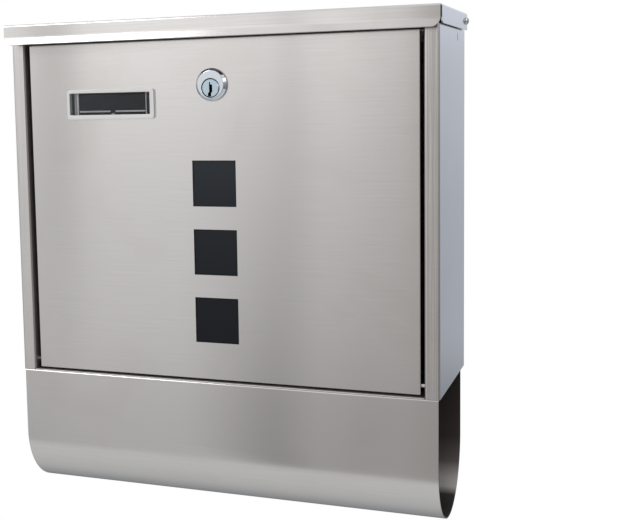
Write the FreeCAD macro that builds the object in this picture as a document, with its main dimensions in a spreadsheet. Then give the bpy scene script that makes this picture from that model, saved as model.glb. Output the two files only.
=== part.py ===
import FreeCAD, Part
import os
import Sketcher

# Wall-mounted mailbox in folded stainless sheet: a box with a rising lid over the mail slot, a drop-down
# front door with a cam lock, and an open newspaper holder under the floor.
# Frame: X to the right, Y into the wall, Z up. The origin is the centre of the four wall holes, on the
# back face of the box. All sizes are in millimetres.

os.makedirs("parts", exist_ok=True)
doc = FreeCAD.newDocument("mailbox")
sheet = doc.addObject("Spreadsheet::Sheet", "sizes")

SIZES = [
    # box
    ("body_width", 300.0),
    ("body_depth", 100.0),
    ("body_height", 245.4),
    ("metal", 0.8),
    ("bend_radius", 1.4),
    ("stile_width", 9.7),
    ("stile_return", 12.0),
    ("wall_hole_spacing_x", 220.0),
    ("wall_hole_spacing_z", 160.0),
    ("wall_hole_radius", 3.0),
    ("side_slit_y", -32.0),
    ("side_slit_width", 1.4),
    ("side_slit_top", 13.5),
    ("side_slit_length", 5.0),
    ("floor_flange", 12.0),
    ("sill_round", 0.6),
    # top rail behind the lid's front lip
    ("rail_front_height", 12.6),
    ("rail_web_depth", 16.3),
    ("rail_keeper_drop", 20.8),
    ("rail_keeper_inset", 14.0),
    # newspaper holder
    ("holder_inset", 1.0),
    ("holder_straight", 45.6),
    ("holder_fold_radius", 1.0),
    ("holder_wall_gap", 10.3),
    ("holder_flange", 7.0),
    ("holder_rivet_inset", 2.4),
    ("holder_rivet_radius", 1.6),
    ("holder_rivet_head_radius", 3.2),
    ("holder_rivet_head_height", 1.2),
    ("holder_rivet_tail_radius", 2.2),
    ("holder_rivet_tail_height", 1.6),
    ("holder_rivet_spacing", 110.0),
    # lid
    ("lid_gap", 0.3),
    ("lid_front_overhang", 7.4),
    ("lid_side_gap", 1.4),
    ("lid_rear_gap", 3.5),
    ("lid_lip_height", 14.0),
    ("lid_flare_height", 5.0),
    ("lid_flare", 1.2),
    ("lid_crease_radius", 6.0),
    ("lid_edge_round", 0.4),
    ("lid_lip_inset", 0.6),
    ("lid_corner_gap", 2.7),
    ("lid_skirt_height", 11.5),
    ("lid_corner_radius", 5.0),
    ("lip_corner_radius", 6.0),
    ("lid_pivot_y", -9.0),
    ("lid_pivot_drop", 5.5),
    ("lid_rivet_radius", 1.5),
    ("lid_rivet_head_radius", 2.65),
    ("lid_rivet_head_height", 1.7),
    ("lid_rivet_tail_radius", 2.55),
    ("lid_rivet_tail_height", 1.2),
    ("lid_spacer_radius", 4.0),
    ("hinge_slack", 0.06),
    ("face_slack", 0.3),
    # door
    ("door_side_gap", 2.7),
    ("door_top_gap", 0.5),
    ("door_bottom_gap", 1.0),
    ("door_recess", 2.4),
    ("door_fold", 12.0),
    ("door_corner_slit", 1.5),
    ("door_pivot_rise", 6.5),
    ("door_pivot_depth", 3.9),
    ("door_pin_radius", 1.5),
    ("door_pin_head_radius", 3.0),
    ("door_pin_head_height", 1.5),
    ("door_pin_reach", 1.5),
    ("window_size", 31.0),
    ("window_pitch", 46.5),
    ("window_drop", 12.4),
    ("window_margin", 6.0),
    ("window_plate", 1.5),
    # name plate
    ("plate_x", -74.8),
    ("plate_drop", 55.4),
    ("plate_width", 66.6),
    ("plate_height", 20.5),
    ("plate_rim", 3.2),
    ("plate_proud", 1.8),
    ("plate_corner", 2.2),
    ("plate_slack", 0.2),
    ("plate_wall", 1.2),
    ("plate_depth", 4.0),
    ("plate_window_set_back", 0.8),
    ("plate_window_thickness", 1.0),
    ("plate_back_thickness", 1.0),
    ("tray_thickness", 1.2),
    ("tray_side_strip", 4.0),
    ("tray_ledge", 1.6),
    ("tray_notch_width", 4.0),
    ("tray_notch_depth", 1.0),
    # cam lock
    ("lock_drop", 1.4),
    ("lock_head_rim", 2.3),
    ("lock_head_height", 3.7),
    ("lock_head_round", 2.0),
    ("lock_barrel_wall", 0.7),
    ("lock_flat_depth", 1.1),
    ("lock_barrel_length", 14.0),
    ("lock_hole_slack", 0.1),
    ("plug_drop", 2.2),
    ("plug_radius", 6.1),
    ("plug_set_back", 0.15),
    ("plug_chamfer", 0.5),
    ("plug_tail", 4.0),
    ("keyway_top", 3.8),
    ("keyway_rim", 0.5),
    ("keyway_width", 2.2),
    ("keyway_offset", 0.3),
    ("keyway_step", 0.85),
    ("keyway_step_drop", 3.0),
    ("keyway_tip_width", 0.85),
    ("keyway_tip_length", 1.6),
    ("keyway_depth", 9.0),
    ("nut_wall", 2.0),
    ("nut_thickness", 3.0),
    ("nut_slack", 0.05),
    ("washer_width", 3.0),
    ("washer_thickness", 1.0),
    ("cam_width", 14.0),
    ("cam_length", 33.0),
    ("cam_thickness", 1.6),
    ("cam_screw_radius", 2.0),
    ("cam_screw_head_radius", 3.6),
    ("cam_screw_head_height", 2.0),
    ("cam_screw_depth", 6.0),
    ("cam_screw_slot_length", 4.4),
    ("cam_screw_slot_width", 0.7),
    ("cam_screw_slot_depth", 1.0),
    ("cam_washer_radius", 6.5),
    ("cam_washer_thickness", 0.8),
]
for row, (alias, size) in enumerate(SIZES, start=1):
    sheet.set(f"A{row}", alias)
    sheet.set(f"B{row}", str(size))
    sheet.setAlias(f"B{row}", alias)
doc.recompute()

# Places worked out from the sizes, as expressions that the sketches and placements share.
BASE = "(-sizes.body_height / 2)"
TOP = "(sizes.body_height / 2)"
FRONT = "(-sizes.body_depth)"
SIDE = "(sizes.body_width / 2)"
INNER_SIDE = f"({SIDE} - sizes.metal)"
STILE_EDGE = f"({SIDE} - sizes.stile_width)"
LID_TOP = f"({TOP} + sizes.lid_gap + sizes.metal)"
LID_PIVOT_Z = f"({LID_TOP} - sizes.lid_pivot_drop)"
LID_SIDE = f"({SIDE} + sizes.lid_side_gap + sizes.metal)"
DOOR_FACE = f"({FRONT} + sizes.door_recess)"
DOOR_BACK = f"({DOOR_FACE} + sizes.metal)"
DOOR_SIDE = f"({STILE_EDGE} - sizes.door_side_gap)"
DOOR_BASE = f"({BASE} + sizes.metal + sizes.door_bottom_gap)"
RAIL_BASE = f"({TOP} - sizes.rail_front_height)"
KEEPER_BASE = f"({RAIL_BASE} - sizes.rail_keeper_drop)"
DOOR_TOP = f"({RAIL_BASE} - sizes.door_top_gap)"
PIN_Z = f"({BASE} + sizes.metal + sizes.door_pivot_rise)"
PIN_Y = f"({DOOR_FACE} + sizes.door_pivot_depth)"
BARREL_RADIUS = "(sizes.plug_radius + sizes.plug_drop + sizes.lock_barrel_wall)"
BARREL_FLAT = f"({BARREL_RADIUS} - sizes.lock_flat_depth)"
LOCK_Z = f"({KEEPER_BASE} - sizes.lock_drop - {BARREL_RADIUS})"
PLUG_Z = f"({LOCK_Z} - sizes.plug_drop)"
PLATE_Z = f"({TOP} - sizes.plate_drop)"
WINDOW_Z = f"(({LOCK_Z} + {DOOR_BASE}) / 2 - sizes.window_drop)"


def value(expression):
    """The present value of an expression on the sheet's sizes."""
    result = sheet.evalExpression(str(expression))
    return float(getattr(result, "Value", result))


def new_body(name):
    body = doc.addObject("PartDesign::Body", name)
    body.Label = name
    return body


def new_sketch(body, plane, offset="0"):
    """A sketch on one of the body's own origin planes, moved along that plane's normal."""
    sketch = body.newObject("Sketcher::SketchObject", f"{body.Name}_sketch")
    role = f"{plane}_Plane"
    support = [f for f in body.Origin.OriginFeatures if f.Role == role][0]
    sketch.AttachmentSupport = [(support, "")]
    sketch.MapMode = "FlatFace"
    sketch.setExpression("AttachmentOffset.Base.z", offset)
    return sketch


def bind(sketch, constraint, expression):
    index = sketch.addConstraint(constraint)
    sketch.setExpression(f"Constraints[{index}]", expression)


def fix_point(sketch, geometry, position, x, y):
    """Ties one end of a curve to a place given by two expressions."""
    for kind, expression in (("DistanceX", x), ("DistanceY", y)):
        size = value(expression)
        bind(sketch, Sketcher.Constraint(kind, -1, 1, geometry, position, size), expression)


def outline(sketch, points, arcs=None):
    """A closed outline through the points. arcs maps the number of a point to the radius of the arc
    that leaves it for the next one, positive where the arc turns left and negative where it turns right."""
    arcs = arcs or {}
    places = [FreeCAD.Vector(value(x), value(y), 0) for x, y in points]
    stretches = []
    for number, start in enumerate(places):
        end = places[(number + 1) % len(places)]
        if number not in arcs:
            stretches.append((sketch.addGeometry(Part.LineSegment(start, end), False), 1, 2))
            continue
        radius = value(arcs[number])
        chord = end - start
        left = FreeCAD.Vector(-chord.y, chord.x, 0).normalize()
        height = max(radius**2 - (chord.Length / 2) ** 2, 0.0) ** 0.5
        centre = (start + end) / 2 + left * (height if radius > 0 else -height)
        circle = Part.Circle(centre, FreeCAD.Vector(0, 0, 1), abs(radius))
        turn = (start, end) if radius > 0 else (end, start)
        angles = [circle.parameter(point) for point in turn]
        arc = sketch.addGeometry(Part.ArcOfCircle(circle, *angles), False)
        stretches.append((arc, 1, 2) if radius > 0 else (arc, 2, 1))
        bind(sketch, Sketcher.Constraint("Radius", arc, abs(radius)), f"abs({arcs[number]})")
    for number, (geometry, start, _) in enumerate(stretches):
        before, _, last = stretches[number - 1]
        sketch.addConstraint(Sketcher.Constraint("Coincident", before, last, geometry, start))
        fix_point(sketch, geometry, start, *points[number])


def rectangle(left, bottom, right, top):
    return lambda sketch: outline(sketch, [(left, bottom), (right, bottom), (right, top), (left, top)])


def circle(x, y, radius):
    def draw(sketch):
        centre = FreeCAD.Vector(value(x), value(y), 0)
        ring = sketch.addGeometry(Part.Circle(centre, FreeCAD.Vector(0, 0, 1), value(radius)), False)
        fix_point(sketch, ring, 3, x, y)
        bind(sketch, Sketcher.Constraint("Radius", ring, value(radius)), radius)

    return draw


def polygon(points, arcs=None):
    return lambda sketch: outline(sketch, points, arcs)


def extrude(body, plane, shapes, low, high, cut=False):
    """Pads the shapes, or cuts them away, between two places along the plane's axis. A sketch on XZ
    faces the front, so there the sizes count from the rear place forwards."""
    sketch = new_sketch(body, plane, f"-({high})" if plane == "XZ" else low)
    for draw in shapes:
        draw(sketch)
    volume = body.Shape.Volume if cut else 0
    feature = body.newObject("PartDesign::Pocket" if cut else "PartDesign::Pad", f"{body.Name}_step")
    feature.Profile = sketch
    feature.setExpression("Length", f"({high}) - ({low})")
    feature.Reversed = cut
    doc.recompute()
    if cut and not body.Shape.Volume < volume:
        raise RuntimeError(f"{feature.Name} cuts nothing")
    return feature


def mirror(body, feature):
    """The feature again on the other side of the middle plane."""
    twin = body.newObject("PartDesign::Mirrored", f"{body.Name}_mirror")
    twin.Originals = [feature]
    plane = [f for f in body.Origin.OriginFeatures if f.Role == "YZ_Plane"][0]
    twin.MirrorPlane = (plane, [""])
    body.Tip = twin
    doc.recompute()
    return twin


def fillet(body, axis, places, radius):
    """Rounds the straight edges along an axis that pass through the places, given as the other two
    coordinates in X, Y, Z order."""
    directions = {"X": (1, 0, 0), "Y": (0, 1, 0), "Z": (0, 0, 1)}
    along = FreeCAD.Vector(*directions[axis])
    spots = []
    for first, second in places:
        pair = [value(first), value(second)]
        pair.insert("XYZ".index(axis), 0.0)
        spots.append(FreeCAD.Vector(*pair))
    names = []
    for number, edge in enumerate(body.Tip.Shape.Edges, start=1):
        if edge.Curve.TypeId != "Part::GeomLine":
            continue
        ends = [v.Point for v in edge.Vertexes]
        if abs((ends[1] - ends[0]).normalize().dot(along)) < 0.9999:
            continue
        flat = ends[0] - along * ends[0].dot(along)
        if any((flat - spot).Length < 1e-4 for spot in spots):
            names.append(f"Edge{number}")
    if not names:
        raise RuntimeError(f"{body.Name} has no edge to round there")
    base = body.Tip
    feature = body.newObject("PartDesign::Fillet", f"{body.Name}_round")
    feature.Base = (base, names)
    feature.setExpression("Radius", radius)
    doc.recompute()
    if feature.Shape.isNull() or "Invalid" in feature.State:
        raise RuntimeError(f"{body.Name} can't be rounded by {radius} along {axis}")
    return feature


def turned(name, points, arcs, axis, x, y, z):
    """A body turned about its own Z, from an outline of radius and height, then laid along an axis."""
    body = new_body(name)
    sketch = new_sketch(body, "XZ")
    outline(sketch, points, arcs)
    feature = body.newObject("PartDesign::Revolution", f"{name}_turn")
    feature.Profile = sketch
    feature.ReferenceAxis = (sketch, ["V_Axis"])
    feature.Angle = 360
    aim(body, axis, x, y, z)
    doc.recompute()
    return body


def aim(body, axis, x, y, z):
    """Places a body and turns its own Z onto an axis. Laid along -Y, its own Y points up."""
    turns = {"X": ((0, 1, 0), 90), "-X": ((0, 1, 0), -90), "-Y": ((1, 0, 0), 90)}
    way, angle = turns[axis]
    body.Placement = FreeCAD.Placement(FreeCAD.Vector(), FreeCAD.Rotation(FreeCAD.Vector(*way), angle))
    for letter, expression in (("x", x), ("y", y), ("z", z)):
        body.setExpression(f"Placement.Base.{letter}", expression)


def both_sides(places):
    return places + [(f"-{x}", y) for x, y in places]


def body_shell():
    """Back, sides, front stiles and their returns, folded from one sheet."""
    body = new_body("body_shell")
    returned = f"({FRONT} + sizes.stile_return)"
    inner_front = f"({FRONT} + sizes.metal)"
    edge_in = f"({STILE_EDGE} + sizes.metal)"
    right = [
        (SIDE, "0"), (SIDE, FRONT), (STILE_EDGE, FRONT), (STILE_EDGE, returned), (edge_in, returned),
        (edge_in, inner_front), (INNER_SIDE, inner_front), (INNER_SIDE, "-sizes.metal"),
    ]
    left = [(f"-{x}", y) for x, y in reversed(right)]
    extrude(body, "XY", [polygon(right + left)], BASE, TOP)
    outer = [(SIDE, "0"), (SIDE, FRONT), (STILE_EDGE, FRONT)]
    inner = [(INNER_SIDE, "-sizes.metal"), (INNER_SIDE, inner_front), (edge_in, inner_front)]
    fillet(body, "Z", both_sides(outer), "sizes.bend_radius")
    fillet(body, "Z", both_sides(inner), "sizes.bend_radius - sizes.metal")
    # Top rear corners cut back and rounded about the lid's pivot, to clear the lid as it rises.
    ear = "(sizes.lid_pivot_drop - sizes.metal - sizes.lid_gap)"
    notch_front = f"(sizes.lid_pivot_y + {ear})"
    notch_base = f"({LID_TOP} - sizes.lid_skirt_height)"
    over = f"({TOP} + 1)"
    corner = [
        (notch_front, notch_base), ("1", notch_base), ("1", over), ("sizes.lid_pivot_y", over),
        ("sizes.lid_pivot_y", TOP), (notch_front, LID_PIVOT_Z),
    ]
    notch_side = f"({INNER_SIDE} - sizes.bend_radius)"
    notch = polygon(corner, {4: f"-{ear}"})
    mirror(body, extrude(body, "YZ", [notch], notch_side, f"{SIDE} + 1", cut=True))
    pivot = circle("sizes.lid_pivot_y", LID_PIVOT_Z, "sizes.lid_rivet_radius")
    slit_top = f"({TOP} - sizes.side_slit_top)"
    slit = rectangle(
        "sizes.side_slit_y", f"{slit_top} - sizes.side_slit_length",
        "sizes.side_slit_y + sizes.side_slit_width", slit_top,
    )
    extrude(body, "YZ", [pivot, slit], f"-{SIDE} - 1", f"{SIDE} + 1", cut=True)
    pin = circle(PIN_Y, PIN_Z, "sizes.door_pin_radius")
    extrude(body, "YZ", [pin], f"-({edge_in} + 1)", f"{edge_in} + 1", cut=True)
    across, up = "sizes.wall_hole_spacing_x / 2", "sizes.wall_hole_spacing_z / 2"
    corners = [(f"{side}{across}", f"{level}{up}") for side in ("", "-") for level in ("", "-")]
    holes = [circle(x, z, "sizes.wall_hole_radius") for x, z in corners]
    extrude(body, "XZ", holes, "-sizes.metal - 1", "1", cut=True)
    return body


HOLDER_TURN = f"({BASE} - sizes.holder_straight)"
HOLDER_REAR = "(-sizes.holder_wall_gap)"
HOLDER_RADIUS = "((sizes.body_depth - sizes.holder_wall_gap) / 2)"
HOLDER_MIDDLE = f"({FRONT} + {HOLDER_RADIUS})"
# The rivets' heads lie behind the door's bottom fold, and the flanges reach past them.
RIVET_INSET = (
    "(sizes.door_recess + sizes.door_fold + sizes.holder_rivet_inset + sizes.holder_rivet_head_radius)"
)
HOLDER_FLANGE = f"({RIVET_INSET} + sizes.holder_flange)"
RIVET_PLACES = [
    (x, y)
    for y in (f"{FRONT} + {RIVET_INSET}", f"{HOLDER_REAR} - {RIVET_INSET}")
    for x in ("-sizes.holder_rivet_spacing", "0", "sizes.holder_rivet_spacing")
]


def rivet_holes(body):
    """Holes through the floor and the flanges below it, for the holder's rivets."""
    holes = [circle(x, y, "sizes.holder_rivet_radius") for x, y in RIVET_PLACES]
    extrude(body, "XY", holes, f"{BASE} - sizes.metal - 1", f"{BASE} + sizes.metal + 1", cut=True)


def floor_pan():
    """Floor with upturned edges against the sides and the back. Its front edge is the door sill."""
    body = new_body("floor_pan")
    step = f"({FRONT} + sizes.stile_return)"
    rear = "(-sizes.metal)"
    level = f"({BASE} + sizes.metal)"
    plate = [
        (f"-{STILE_EDGE}", FRONT), (STILE_EDGE, FRONT), (STILE_EDGE, step), (INNER_SIDE, step),
        (INNER_SIDE, rear), (f"-{INNER_SIDE}", rear), (f"-{INNER_SIDE}", step), (f"-{STILE_EDGE}", step),
    ]
    extrude(body, "XY", [polygon(plate)], BASE, level)
    wall_in, rear_in = f"({INNER_SIDE} - sizes.metal)", "(-2 * sizes.metal)"
    edges = [
        (INNER_SIDE, step), (INNER_SIDE, rear), (f"-{INNER_SIDE}", rear), (f"-{INNER_SIDE}", step),
        (f"-{wall_in}", step), (f"-{wall_in}", rear_in), (wall_in, rear_in), (wall_in, step),
    ]
    extrude(body, "XY", [polygon(edges)], level, f"{BASE} + sizes.floor_flange")
    fillet(body, "Z", [(INNER_SIDE, rear), (f"-{INNER_SIDE}", rear)], "sizes.bend_radius")
    fillet(body, "Z", [(wall_in, rear_in), (f"-{wall_in}", rear_in)], "sizes.bend_radius - sizes.metal")
    fillet(body, "X", [(FRONT, level)], "sizes.sill_round")
    rivet_holes(body)
    return body


def top_rail():
    """Joggled rail between the stiles. Its rear strip, shorter than the rail, keeps the lock cam."""
    body = new_body("top_rail")
    web_top = f"({RAIL_BASE} + sizes.metal)"
    keeper = f"({FRONT} + sizes.rail_web_depth)"
    profile = [
        (FRONT, TOP), (FRONT, RAIL_BASE), (f"{keeper} - sizes.metal", RAIL_BASE),
        (f"{keeper} - sizes.metal", KEEPER_BASE), (keeper, KEEPER_BASE), (keeper, web_top),
        (f"{FRONT} + sizes.metal", web_top), (f"{FRONT} + sizes.metal", TOP),
    ]
    extrude(body, "YZ", [polygon(profile)], f"-{STILE_EDGE}", STILE_EDGE)
    fillet(body, "X", [(FRONT, RAIL_BASE), (keeper, web_top)], "sizes.bend_radius")
    inside = [(f"{FRONT} + sizes.metal", web_top), (f"{keeper} - sizes.metal", RAIL_BASE)]
    fillet(body, "X", inside, "sizes.bend_radius - sizes.metal")
    keeper_end = f"({STILE_EDGE} - sizes.rail_keeper_inset)"
    end = rectangle(keeper_end, f"{KEEPER_BASE} - 1", f"{STILE_EDGE} + 1", f"{RAIL_BASE} - sizes.bend_radius")
    mirror(body, extrude(body, "XZ", [end], f"{keeper} - sizes.metal - 1", f"{keeper} + 1", cut=True))
    return body


def newspaper_holder():
    """U-shaped trough, open at both ends, with flanges turned in under the floor."""
    body = new_body("newspaper_holder")
    outer, inner = HOLDER_RADIUS, f"({HOLDER_RADIUS} - sizes.metal)"
    front_in, rear_in = f"({FRONT} + sizes.metal)", f"({HOLDER_REAR} - sizes.metal)"
    flange_under = f"({BASE} - sizes.metal)"
    profile = [
        (FRONT, BASE), (FRONT, HOLDER_TURN), (HOLDER_MIDDLE, f"{HOLDER_TURN} - {outer}"),
        (HOLDER_REAR, HOLDER_TURN), (HOLDER_REAR, BASE), (f"{HOLDER_REAR} - {HOLDER_FLANGE}", BASE),
        (f"{HOLDER_REAR} - {HOLDER_FLANGE}", flange_under), (rear_in, flange_under),
        (rear_in, HOLDER_TURN), (HOLDER_MIDDLE, f"{HOLDER_TURN} - {inner}"), (front_in, HOLDER_TURN),
        (front_in, flange_under), (f"{FRONT} + {HOLDER_FLANGE}", flange_under),
        (f"{FRONT} + {HOLDER_FLANGE}", BASE),
    ]
    arcs = {1: outer, 2: outer, 8: f"-{inner}", 9: f"-{inner}"}
    half = f"({SIDE} - sizes.holder_inset)"
    extrude(body, "YZ", [polygon(profile, arcs)], f"-{half}", half)
    fillet(body, "X", [(FRONT, BASE), (HOLDER_REAR, BASE)], "sizes.holder_fold_radius")
    inside = [(front_in, flange_under), (rear_in, flange_under)]
    fillet(body, "X", inside, "sizes.holder_fold_radius - sizes.metal")
    rivet_holes(body)
    return body


def holder_rivets():
    """Blind rivets through the floor and the holder's flanges: heads above, tails below."""
    head, tail = "sizes.holder_rivet_head_height", "sizes.holder_rivet_tail_height"
    stages = [
        (f"{BASE} + sizes.metal", head, "sizes.holder_rivet_head_radius"),
        (f"{BASE} - sizes.metal", "2 * sizes.metal", "sizes.holder_rivet_radius"),
        (f"{BASE} - sizes.metal - {tail}", tail, "sizes.holder_rivet_tail_radius"),
    ]
    rivets = []
    for x, y in RIVET_PLACES:
        stack = []
        for low, length, radius in stages:
            disc = doc.addObject("Part::Cylinder", "rivet_stage")
            disc.setExpression("Radius", radius)
            disc.setExpression("Height", length)
            for letter, expression in (("x", x), ("y", y), ("z", low)):
                disc.setExpression(f"Placement.Base.{letter}", expression)
            stack.append(disc)
        rivet = doc.addObject("Part::MultiFuse", "rivet")
        rivet.Shapes = stack
        rivets.append(rivet)
    group = doc.addObject("Part::Compound", "holder_rivets")
    group.Label = "holder_rivets"
    group.Links = rivets
    doc.recompute()
    return group


def lid_panel():
    """Lid with a flared front lip, side skirts and open front corners, folded from one sheet."""
    body = new_body("lid_panel")
    under = f"({LID_TOP} - sizes.metal)"
    front = f"({FRONT} - sizes.lid_front_overhang)"
    front_in = f"({front} + sizes.metal)"
    rear = "(-sizes.lid_rear_gap)"
    skirt_front = f"({front_in} + sizes.lid_corner_gap)"
    skirt_base = f"({LID_TOP} - sizes.lid_skirt_height)"
    skirt_in = f"({LID_SIDE} - sizes.metal)"
    section = [
        (f"-{LID_SIDE}", skirt_base), (f"-{skirt_in}", skirt_base), (f"-{skirt_in}", under),
        (skirt_in, under), (skirt_in, skirt_base), (LID_SIDE, skirt_base), (LID_SIDE, LID_TOP),
        (f"-{LID_SIDE}", LID_TOP),
    ]
    extrude(body, "XZ", [polygon(section)], skirt_front, rear)
    fillet(body, "Y", [(LID_SIDE, LID_TOP), (f"-{LID_SIDE}", LID_TOP)], "sizes.bend_radius")
    fillet(body, "Y", [(skirt_in, under), (f"-{skirt_in}", under)], "sizes.bend_radius - sizes.metal")
    fillet(body, "X", [(skirt_front, skirt_base)], "sizes.lid_corner_radius")
    # Front strip and lip, with a soft crease where the lip starts to lean outwards.
    lip_side = f"({LID_SIDE} - sizes.lid_lip_inset)"
    crease = f"({LID_TOP} - sizes.lid_lip_height + sizes.lid_flare_height)"
    lip_base = f"({LID_TOP} - sizes.lid_lip_height)"
    flare = f"({front} - sizes.lid_flare)"
    lip = [
        (skirt_front, LID_TOP), (front, LID_TOP), (front, crease), (flare, lip_base),
        (f"{flare} + sizes.metal", lip_base), (front_in, crease), (front_in, under), (skirt_front, under),
    ]
    extrude(body, "YZ", [polygon(lip)], f"-{lip_side}", lip_side)
    fillet(body, "X", [(front, LID_TOP)], "sizes.bend_radius")
    fillet(body, "X", [(front_in, under)], "sizes.bend_radius - sizes.metal")
    fillet(body, "X", [(flare, lip_base)], "sizes.lid_edge_round")
    fillet(body, "X", [(front, crease)], "sizes.lid_crease_radius")
    fillet(body, "X", [(front_in, crease)], "sizes.lid_crease_radius + sizes.metal")
    round_off = "sizes.lip_corner_radius"
    beyond = f"({lip_side} + 1)"
    corner = [
        (f"{lip_side} - {round_off}", lip_base), (lip_side, f"{lip_base} + {round_off}"),
        (beyond, f"{lip_base} + {round_off}"), (beyond, f"{lip_base} - 1"),
        (f"{lip_side} - {round_off}", f"{lip_base} - 1"),
    ]
    rounding = polygon(corner, {0: round_off})
    mirror(body, extrude(body, "XZ", [rounding], f"{flare} - 1", f"{front_in} + 1", cut=True))
    pivot = circle("sizes.lid_pivot_y", LID_PIVOT_Z, "sizes.lid_rivet_radius + sizes.hinge_slack")
    extrude(body, "YZ", [pivot], f"-{LID_SIDE} - 1", f"{LID_SIDE} + 1", cut=True)
    return body


def lid_hinge(side, axis):
    """One pivot rivet, closed inside the box and domed outside the lid, and its spacer ring."""
    shank, head = "sizes.lid_rivet_radius", "sizes.lid_rivet_head_radius"
    seat = f"({LID_SIDE} + sizes.face_slack)"
    crown = f"({seat} + sizes.lid_rivet_head_height)"
    tail, tail_radius = f"({INNER_SIDE} - sizes.lid_rivet_tail_height)", "sizes.lid_rivet_tail_radius"
    # The dome is an arc through its rim and its crown: radius = (rim^2 + height^2) / (2 height).
    dome = f"(({head})^2 + sizes.lid_rivet_head_height^2) / (2 * sizes.lid_rivet_head_height)"
    profile = [
        ("0", tail), (tail_radius, tail), (tail_radius, INNER_SIDE), (shank, INNER_SIDE), (shank, seat),
        (head, seat), ("0", crown),
    ]
    place = (axis, "0", "sizes.lid_pivot_y", LID_PIVOT_Z)
    turned(f"lid_pivot_rivet_{side}", profile, {5: dome}, *place)
    ring_end = f"({SIDE} + sizes.lid_side_gap - sizes.face_slack)"
    ring = [
        (shank, SIDE), ("sizes.lid_spacer_radius", SIDE), ("sizes.lid_spacer_radius", ring_end),
        (shank, ring_end),
    ]
    turned(f"lid_spacer_{side}", ring, None, *place)


def door_pin(side, axis):
    """Hinge pin headed behind the stile's return. The door's folded side turns on its shank."""
    shank, head = "sizes.door_pin_radius", "sizes.door_pin_head_radius"
    seat = f"({STILE_EDGE} + sizes.metal)"
    end = f"({seat} + sizes.door_pin_head_height)"
    tip = f"({DOOR_SIDE} - sizes.metal - sizes.door_pin_reach)"
    profile = [("0", tip), (shank, tip), (shank, seat), (head, seat), (head, end), ("0", end)]
    turned(f"door_pin_{side}", profile, None, axis, "0", PIN_Y, PIN_Z)


def barrel_outline(slack):
    """The lock barrel's section, a circle with two flats, opened out by a slack."""
    radius = f"({BARREL_RADIUS} + {slack})"
    flat = f"({BARREL_FLAT} + {slack})"
    rise = f"sqrt({radius}^2 - {flat}^2)"
    return radius, flat, rise


def door_panel():
    """Folded front door with square windows and the openings for the name plate and the lock."""
    body = new_body("door_panel")
    face = rectangle(f"-{DOOR_SIDE}", DOOR_BASE, DOOR_SIDE, DOOR_TOP)
    extrude(body, "XZ", [face], DOOR_FACE, DOOR_BACK)
    slit = "sizes.door_corner_slit"
    inner_side = f"({DOOR_SIDE} - sizes.metal)"
    low, high = f"({DOOR_BASE} + {slit})", f"({DOOR_TOP} - {slit})"
    near = f"({DOOR_SIDE} - {slit})"
    folds = [
        rectangle(inner_side, low, DOOR_SIDE, high),
        rectangle(f"-{DOOR_SIDE}", low, f"-{inner_side}", high),
        rectangle(f"-{near}", f"{DOOR_TOP} - sizes.metal", near, DOOR_TOP),
        rectangle(f"-{near}", DOOR_BASE, near, f"{DOOR_BASE} + sizes.metal"),
    ]
    extrude(body, "XZ", folds, DOOR_BACK, f"{DOOR_FACE} + sizes.door_fold")
    # The folded edges are rounded over most of the sheet's thickness.
    edge_round = "7 / 8 * sizes.metal"
    fillet(body, "Z", both_sides([(DOOR_SIDE, DOOR_FACE)]), edge_round)
    fillet(body, "X", [(DOOR_FACE, DOOR_BASE), (DOOR_FACE, DOOR_TOP)], edge_round)
    half = "sizes.window_size / 2"
    openings = []
    for number in (-1, 0, 1):
        middle = f"({WINDOW_Z} + {number} * sizes.window_pitch)"
        openings.append(rectangle(f"-{half}", f"{middle} - {half}", half, f"{middle} + {half}"))
    openings.append(plate_rectangle("sizes.plate_rim - sizes.plate_wall - sizes.plate_slack"))
    radius, flat, rise = barrel_outline("sizes.lock_hole_slack")
    lock = [
        (f"-{flat}", f"{LOCK_Z} - {rise}"), (flat, f"{LOCK_Z} - {rise}"), (flat, f"{LOCK_Z} + {rise}"),
        (f"-{flat}", f"{LOCK_Z} + {rise}"),
    ]
    openings.append(polygon(lock, {0: radius, 2: radius}))
    extrude(body, "XZ", openings, f"{DOOR_FACE} - 1", f"{DOOR_BACK} + 1", cut=True)
    pins = circle(PIN_Y, PIN_Z, "sizes.door_pin_radius + sizes.hinge_slack")
    extrude(body, "YZ", [pins], f"-{DOOR_SIDE} - 1", f"{DOOR_SIDE} + 1", cut=True)
    return body


def window_backing():
    """Dark plate behind the three square windows, stuck to the back of the door."""
    body = new_body("window_backing")
    side = "(sizes.window_size / 2 + sizes.window_margin)"
    high = f"({WINDOW_Z} + sizes.window_pitch + {side})"
    low = f"({WINDOW_Z} - sizes.window_pitch - {side})"
    plate = rectangle(f"-{side}", low, side, high)
    extrude(body, "XZ", [plate], DOOR_BACK, f"{DOOR_BACK} + sizes.window_plate")
    return body


def plate_rectangle(inset, corner=None):
    """A rectangle about the middle of the name plate, inside its outer edge by the inset."""
    width = f"(sizes.plate_width / 2 - ({inset}))"
    height = f"(sizes.plate_height / 2 - ({inset}))"
    left, right = f"(sizes.plate_x - {width})", f"(sizes.plate_x + {width})"
    bottom, top = f"({PLATE_Z} - {height})", f"({PLATE_Z} + {height})"
    if corner is None:
        return rectangle(left, bottom, right, top)
    points = [
        (f"{left} + {corner}", bottom), (f"{right} - {corner}", bottom), (right, f"{bottom} + {corner}"),
        (right, f"{top} - {corner}"), (f"{right} - {corner}", top), (f"{left} + {corner}", top),
        (left, f"{top} - {corner}"), (left, f"{bottom} + {corner}"),
    ]
    return polygon(points, {1: corner, 3: corner, 5: corner, 7: corner})


PLATE_BACK = f"({DOOR_BACK} + sizes.plate_depth)"
WINDOW_FRONT = f"({DOOR_FACE} - sizes.plate_proud + sizes.plate_window_set_back)"


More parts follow.
